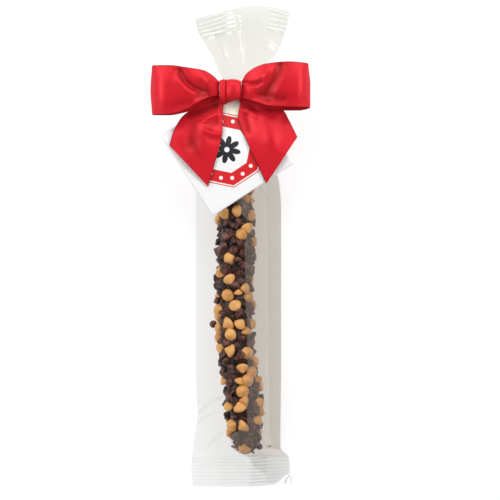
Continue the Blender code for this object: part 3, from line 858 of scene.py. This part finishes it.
# Gift tag: a square of white card printed on its face, hung by its top corner behind the knot, so that it
# lies askew over the rod's upper end. The print is an eight-sided red frame with white dots round a dark
# rosette, and a round cream patch is laid over the corner that it hangs by, under the knot.
TAG_SIDE, TAG_THICK = 50.6, 0.4
TAG_TURN = math.radians(-33.2)
TAG_MIDDLE = (-1.9, 50.9)
PRINT_RED = (0.66, 0.008, 0.012, 1)
PRINT_DARK = (0.012, 0.012, 0.018, 1)
CARD_WHITE = (0.89, 0.885, 0.885, 1)
PATCH_CREAM = (0.97, 0.93, 0.78, 1)
CARD_SHADE = (0.86, 0.855, 0.855, 1)
CORNER_PATCH = 0.72
FRAME_BAND, FRAME_LINE = (0.455, 0.70), (0.725, 0.745)
DOTS, DOT_RING, DOT_RADIUS = 16, 0.60, 0.04
PETAL_START, PETAL_LENGTH, EYE_RADIUS = 0.14, 0.15, 0.055


def card_level(y):
    """Middle of the card's thickness: low behind the knot, then over the end of the rod."""
    return 20.2 + 4.2 * ease(-78.0, -46.0, -y) + 0.5 * ease(-46.0, -17.0, -y)


def tag_rule(u, v):
    p, q = TAG_SIDE * (u - 0.5), TAG_SIDE * (v - 0.5)
    x = TAG_MIDDLE[0] + p * math.cos(TAG_TURN) + q * math.sin(TAG_TURN)
    y = TAG_MIDDLE[1] - p * math.sin(TAG_TURN) + q * math.cos(TAG_TURN)
    return x, y, card_level(y)


gift_tag = lay_sheet("gift_tag", 60, 60, tag_rule)
thicken(gift_tag, TAG_THICK)

card, tree, shader = new_finish("printed white card")
place = add_node(tree, "TexCoord", {})
centre = add_node(tree, "Mapping", {
    "Vector": place.outputs["Object"], "Location": (TAG_MIDDLE[0] * MM, TAG_MIDDLE[1] * MM, 0),
    "Rotation": (0, 0, -TAG_TURN), "Scale": (TAG_SIDE / 2 * MM, TAG_SIDE / 2 * MM, 1),
}, vector_type="TEXTURE")
split = add_node(tree, "SeparateXYZ", {"Vector": centre.outputs["Vector"]})
p, q = split.outputs["X"], split.outputs["Y"]


def calc(operation, *values):
    return sum_up(tree, operation, *values)


def length(a, b):
    return calc("SQRT", calc("ADD", calc("MULTIPLY", a, a), calc("MULTIPLY", b, b)))


def between(value, low, high):
    return calc("MULTIPLY", calc("GREATER_THAN", value, low), calc("LESS_THAN", value, high))


across, upward = calc("ABSOLUTE", p), calc("ABSOLUTE", q)
slanted = calc("MULTIPLY", calc("ADD", across, upward), 0.7071)
octagon = calc("MAXIMUM", calc("MAXIMUM", across, upward), slanted)
bearing = calc("ARCTAN2", q, p)
step = 2 * math.pi / DOTS
nearest = calc("MULTIPLY", calc("ROUND", calc("DIVIDE", bearing, step)), step)
dot_x = calc("SUBTRACT", p, calc("MULTIPLY", calc("COSINE", nearest), DOT_RING))
dot_y = calc("SUBTRACT", q, calc("MULTIPLY", calc("SINE", nearest), DOT_RING))
off_dot = calc("GREATER_THAN", length(dot_x, dot_y), DOT_RADIUS)
petal = calc("ABSOLUTE", calc("COSINE", calc("MULTIPLY", bearing, 4)))
petal_end = calc("MULTIPLY_ADD", petal, PETAL_LENGTH, PETAL_START)
surface = add_node(tree, "NewGeometry", {})
facing = add_node(tree, "SeparateXYZ", {"Vector": surface.outputs["True Normal"]})
shown = calc("GREATER_THAN", facing.outputs["Z"], 0.5)
patch = calc("LESS_THAN", length(calc("SUBTRACT", 1.0, p), calc("SUBTRACT", 1.0, q)), CORNER_PATCH)
red = calc("MULTIPLY", calc("MAXIMUM", between(octagon, *FRAME_BAND), between(octagon, *FRAME_LINE)), off_dot)
fibre = speckle(tree, 900)
colour = two_tones(tree, fibre, CARD_SHADE, CARD_WHITE, 0.3, 0.7)
for tone, share in (
    (PATCH_CREAM, patch), (PRINT_RED, red), (PRINT_DARK, between(length(p, q), EYE_RADIUS, petal_end)),
):
    colour = lay_tone(tree, colour, tone, calc("MULTIPLY", share, shown))
feed(tree, shader, {"Base Color": colour, "Roughness": 0.42, "Normal": raised(tree, fibre, 0.05, 0.0002)})
gift_tag.data.materials.append(card)
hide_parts("tag")
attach(gift_tag, "root")

# Tails: the ribbon's two ends, narrow where the knot grips them, full width over the card, cut off at a
# slant. Each keeps the soft folds that the knot sets in it, with painted shade darkening the satin along
# its furrows.
TAIL_EDGES = {
    "left": {
        "outer": [
            (-5.0, 79.5), (-10.5, 76.6), (-18.0, 73.4), (-24.4, 69.4), (-27.9, 64.7), (-30.2, 59.8),
            (-32.1, 53.1),
        ],
        "inner": [
            (-2.4, 78.5), (-3.6, 74.6), (-4.0, 69.7), (-4.1, 61.7), (-5.3, 54.0), (-8.2, 43.6), (-11.7, 31.5),
        ],
    },
    "right": {
        "inner": [(2.4, 79.5), (5.0, 75.6), (3.9, 68.6), (5.6, 62.5), (9.4, 53.2), (13.9, 43.3), (18.8, 32.9)],
        "outer": [
            (5.2, 80.5), (11.5, 78.0), (20.0, 75.5), (27.6, 71.9), (30.8, 66.5), (33.0, 62.0), (35.2, 57.5),
        ],
    },
}
# Painted shade follows these furrows. The ones along and across the left tail's upper part, under the left
# loop, stand in for that loop's shadow on the tail.
TAIL_FOLDS = {
    "left": [
        ([(-7.5, 69.6), (-12.0, 67.4), (-15.6, 64.6), (-14.3, 61.2), (-9.4, 59.1), (-4.8, 59.1)], 1.15, 0.95),
        ([(-10.0, 63.4), (-7.4, 65.2)], 2.3, -0.9),
        ([(-8.0, 73.5), (-15.0, 71.2), (-22.0, 69.6)], 2.2, -1.1),
        ([(-19.0, 54.0), (-17.0, 48.0)], 4.0, -0.5),
        ([(-11.0, 56.4), (-7.0, 55.6)], 1.6, -0.4),
        ([(-22.0, 66.0), (-26.0, 58.0)], 4.0, 0.5),
        ([(-19.6, 64.0), (-20.6, 54.0)], 4.6, -0.9),
    ],
    "right": [
        ([(18.0, 70.0), (20.8, 64.4), (22.0, 57.0)], 4.6, 1.0),
        ([(8.0, 68.0), (10.0, 61.0)], 2.4, -0.9),
        ([(8.5, 74.0), (14.0, 71.6), (21.0, 71.6)], 1.9, -1.1),
        ([(9.0, 71.5), (13.0, 68.5)], 1.3, 0.5),
        ([(27.5, 66.0), (26.0, 55.0)], 3.0, -0.35),
    ],
}
CARD_GAP, TAIL_PUFF, GRIP_PLEAT = 0.3, 1.1, 0.3


def read_edge(points, u):
    """x and y at u from 0 to 1 along a smooth line through points."""
    places = np.linspace(0, 1, len(points))
    return [smooth_line([(a, b[k]) for a, b in zip(places, points)], u) for k in (0, 1)]


def tail_rule(side):
    edges, creases = TAIL_EDGES[side], TAIL_FOLDS[side]

    def place(u, v):
        inner, outer = read_edge(edges["inner"], v), read_edge(edges["outer"], v)
        x, y = (a + (b - a) * u for a, b in zip(inner, outer))
        rest = card_level(y) + TAG_THICK / 2 + RIBBON_THICK / 2 + CARD_GAP
        lift = TAIL_PUFF * ease(0.25, 0.6, v) * np.sin(math.pi * u) ** 2 + 0.5
        lift = lift + sum(fold(x, y, *crease) for crease in creases)
        grip = GRIP_PLEAT * (1 - ease(0.0, 0.3, v))
        return x, y, rest + np.maximum(lift, 0.0) + grip * (1 + ripple(3, u, -0.25))

    return place


for side in ("left", "right"):
    tail = lay_sheet(f"ribbon_tail_{side}", 44, 80, tail_rule(side))
    if side == "right":
        edit_whole(tail, (bpy.ops.mesh.flip_normals, {}))
    mark_furrow_shade(tail, TAIL_FOLDS[side])
    thicken(tail, RIBBON_THICK)
    tail.data.materials.append(satin)
    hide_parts(f"bow_tail_{side}")
    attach(tail, "root")

# Loops: each is one open turn of ribbon, out from the knot over the front, round its outer end and back
# behind. The knot's grip sets a puff, creases and furrows in the front, which the satin shows as light
# and dark; painted shade also darkens the satin's colour along the furrows.
LOOP_REACH = 41.4
LOOP_SIDE = [
    (0.0, 6.0, 25.2), (0.09, 9.6, 28.0), (0.2, 16.0, 31.0), (0.31, 24.0, 32.6), (0.39, 31.0, 32.1),
    (0.46, 36.6, 30.8), (0.51, 40.0, 29.1), (0.55, 41.4, 27.4), (0.6, 40.2, 25.0), (0.67, 35.6, 23.6),
    (0.8, 24.0, 23.3), (0.92, 12.0, 23.3), (1.0, 6.0, 23.4),
]
LOOP_EDGES = {
    "left": {
        "top": [(6.0, 86.6), (9.9, 90.0), (14.1, 92.2), (22.3, 93.6), (31.1, 94.8), (41.4, 95.0)],
        "bottom": [
            (6.0, 79.4), (9.4, 78.8), (13.6, 77.2), (18.4, 74.6), (23.1, 71.6), (32.7, 69.0), (41.4, 69.0),
        ],
        "back": [(6.0, 77.6), (9.4, 76.6), (14.1, 74.4), (24.4, 70.4), (32.7, 69.0), (41.4, 69.0)],
    },
    "right": {
        "top": [(6.0, 87.0), (8.7, 90.9), (14.0, 94.2), (19.0, 95.7), (30.0, 96.8), (41.4, 96.1)],
        "bottom": [(6.0, 78.2), (10.5, 76.7), (15.6, 74.9), (19.8, 73.6), (26.0, 73.0), (41.4, 72.8)],
        "back": [
            (6.0, 77.6), (10.5, 75.8), (15.6, 73.4), (19.8, 72.2), (26.0, 71.5), (36.0, 71.5), (41.4, 72.4),
        ],
    },
}
OUTER_END = {"left": (40.9, 41.8, 41.0), "right": (41.7, 41.8, 40.7)}
LOOP_FOLDS = {
    "left": [
        ([(26.3, 91.0), (23.4, 86.4), (19.8, 83.2), (16.0, 81.8), (13.0, 81.6)], 1.9, -1.9),
        ([(28.0, 86.6), (23.0, 82.0), (17.4, 79.4)], 1.5, 0.5),
        ([(17.0, 85.2), (12.4, 83.8)], 0.8, -0.7),
        ([(14.4, 88.6), (12.4, 87.0)], 3.6, 1.8),
        ([(9.6, 83.4), (7.4, 80.4)], 1.5, 0.9),
        ([(16.6, 78.6), (12.0, 78.8)], 2.0, -1.1),
        ([(36.5, 86.0), (36.0, 76.0)], 5.0, 0.6),
        ([(30.0, 73.5), (22.0, 75.5)], 2.6, -0.6),
    ],
    "right": [
        ([(26.0, 94.0), (23.4, 88.0), (20.6, 82.4), (18.7, 78.6)], 2.7, -1.8),
        ([(6.4, 86.4), (9.5, 85.2), (13.6, 85.2), (16.0, 86.4)], 1.1, -1.3),
        ([(20.2, 91.5), (18.0, 88.8)], 2.8, 1.4),
        ([(8.2, 83.6), (9.8, 80.6)], 2.2, 1.2),
        ([(15.0, 80.0), (20.0, 77.6), (28.0, 77.0)], 2.8, -1.1),
        ([(38.0, 90.0), (37.0, 80.0)], 4.4, 0.6),
    ],
}


def loop_rule(side, direction):
    edges = LOOP_EDGES[side]

    def place(u, v):
        x = smooth_line([(s, a) for s, a, _ in LOOP_SIDE], v)
        z = smooth_line([(s, b) for s, _, b in LOOP_SIDE], v)
        low_end, middle_end, high_end = OUTER_END[side]
        x = x * smooth_line([(0.0, low_end), (0.5, middle_end), (1.0, high_end)], u) / LOOP_REACH
        behind = ease(0.5, 0.62, v)
        low = smooth_line(edges["bottom"], x) * (1 - behind) + smooth_line(edges["back"], x) * behind
        high = smooth_line(edges["top"], x) - 0.6 * behind * (1 - ease(0.85, 1.0, v))
        y = low + (high - low) * u
        front = (1 - ease(0.44, 0.54, v)) * ease(0.0, 0.05, v)
        lift = sum(fold(x, y, *crease) for crease in LOOP_FOLDS[side])
        roll = 1.1 * np.sin(math.pi * u) * front
        sag = -0.5 * np.sin(math.pi * u) * behind
        return direction * x, y, z + lift * front + roll + sag - 0.6

    return place


for side, direction in (("left", -1), ("right", 1)):
    loop = lay_sheet(f"bow_{side}", 48, 150, loop_rule(side, direction))
    mark_furrow_shade(loop, LOOP_FOLDS[side], direction)
    thicken(loop, RIBBON_THICK)
    loop.data.materials.append(satin)
    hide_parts(f"bow_loop_{side}")
    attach(loop, "root")

# Knot: the ribbon turned over the middle of the bow, one broad turn and a narrower one beside it,
# each drawn in so that it swells over the bow and folds at its edges.
KNOT_TURNS = {
    "knot_broad": {
        "top": [(-2.6, 87.4), (0.0, 88.0), (3.0, 87.8), (5.6, 86.9)],
        "bottom": [(-2.6, 75.2), (-0.9, 75.6), (2.4, 76.5), (5.6, 77.4)],
        "depth": [(-2.6, 1.9), (-1.7, 2.9), (0.3, 3.45), (2.6, 3.4), (4.6, 2.8), (5.6, 1.9)],
        "pleat": 0.06,
    },
    "knot_narrow": {
        "top": [(-5.8, 87.3), (-4.0, 87.9), (-2.0, 87.7)],
        "bottom": [(-5.8, 75.4), (-4.0, 74.3), (-2.0, 74.8)],
        "depth": [(-5.8, 1.8), (-5.0, 2.8), (-4.3, 2.6), (-3.4, 3.2), (-2.7, 2.7), (-2.0, 1.9)],
        "pleat": 0.12,
    },
}
KNOT_LEVEL, KNOT_GROOVE, KNOT_SQUARE = 24.2, -2.2, 0.85


def knot_rule(turn):
    left, right = turn["top"][0][0], turn["top"][-1][0]

    def place(u, v):
        x = left + (right - left) * u
        top, bottom = smooth_line(turn["top"], x), smooth_line(turn["bottom"], x)
        angle = 2 * math.pi * v
        c, s = np.cos(angle), np.sin(angle)
        pleat = turn["pleat"] * np.cos(2 * math.pi * 1.6 * u + 0.9 * c + 0.5)
        depth = smooth_line(turn["depth"], x) + pleat
        lean = 0.5 * c * np.sin(math.pi * u)
        y = (top + bottom) / 2 + (top - bottom) / 2 * np.sign(c) * np.abs(c) ** KNOT_SQUARE
        return x + lean * 0.4, y, KNOT_LEVEL + depth * np.sign(s) * np.abs(s) ** KNOT_SQUARE

    return place


turns = []
for name, turn in KNOT_TURNS.items():
    knot = lay_sheet(name, 24, 64, knot_rule(turn))
    weld(knot)
    x, y, _ = points_of(knot).T
    # Painted shade: the satin is darkened over the knot's lower part, where it curves under, and in the groove
    # between its two turns.
    shade = 0.9 * (1 - ease(75.0, 80.5, y)) + 0.8 * np.exp(-(((x - KNOT_GROOVE) / 0.5) ** 2))
    mark(knot, "painted_shade", np.clip(shade, 0.0, 1.0))
    thicken(knot, RIBBON_THICK, -1.0)
    turns.append(knot)
bow_knot = join_up(turns, "ribbon_knot")
bow_knot.data.materials.append(satin)
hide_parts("bow_knot")
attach(bow_knot, "root")

# Studio: a plain near-white floor, soft lamps on both sides and above, and a camera that looks straight
# down.
FRAME_WIDTH = 265.0
FRAME_MIDDLE = (10.26, -1.86)
LENS, SENSOR = 200.0, 36.0
MEASURED_LEVEL = 12.0
ROOM_LOW, ROOM_HIGH = (0.75, 0.75, 0.75, 1), (0.22, 0.22, 0.22, 1)

floor = begin(bpy.ops.mesh.primitive_plane_add, size=6)
floor.name = "studio_floor"
pale, tree, shader = new_finish("pale studio floor")
feed(tree, shader, {
    "Base Color": (0.38, 0.38, 0.38, 1), "Roughness": 0.8, "Specular IOR Level": 0.1,
    "Emission Color": (1, 1, 1, 1), "Emission Strength": 0.71,
})
floor.data.materials.append(pale)

for name, place, width, depth, watts in (
    ("left softbox", (-0.8, 0.25, 0.75), 0.36, 0.36, 4.3),
    ("right softbox", (0.8, 0.3, 0.75), 0.36, 0.36, 4.3),
    ("top softbox", (0.0, 0.85, 0.75), 1.2, 0.3, 5.4),
):
    lamp = begin(bpy.ops.object.light_add, type="AREA", location=place)
    lamp.name = name
    lamp.data.shape = "RECTANGLE"
    lamp.data.size, lamp.data.size_y = width, depth
    lamp.data.energy = watts
    lamp.rotation_euler = (-Vector(place)).to_track_quat("-Z", "Y").to_euler()
world = bpy.data.worlds.new("soft white room")
world.use_nodes = True
tree = world.node_tree
sky = add_node(tree, "TexCoord", {})
split = add_node(tree, "SeparateXYZ", {"Vector": sky.outputs["Generated"]})
ceiling = two_tones(tree, split.outputs["Z"], ROOM_LOW, ROOM_HIGH, 0.1, 0.95)
feed(tree, tree.nodes["Background"], {"Color": ceiling, "Strength": 1.0})
bpy.context.scene.world = world
bpy.context.scene.view_settings.view_transform = "Standard"

distance = FRAME_WIDTH * MM * LENS / SENSOR
camera = begin(
    bpy.ops.object.camera_add, rotation=(0, 0, 0),
    location=(FRAME_MIDDLE[0] * MM, FRAME_MIDDLE[1] * MM, distance + MEASURED_LEVEL * MM),
)
camera.data.lens, camera.data.sensor_width = LENS, SENSOR
bpy.context.scene.camera = camera
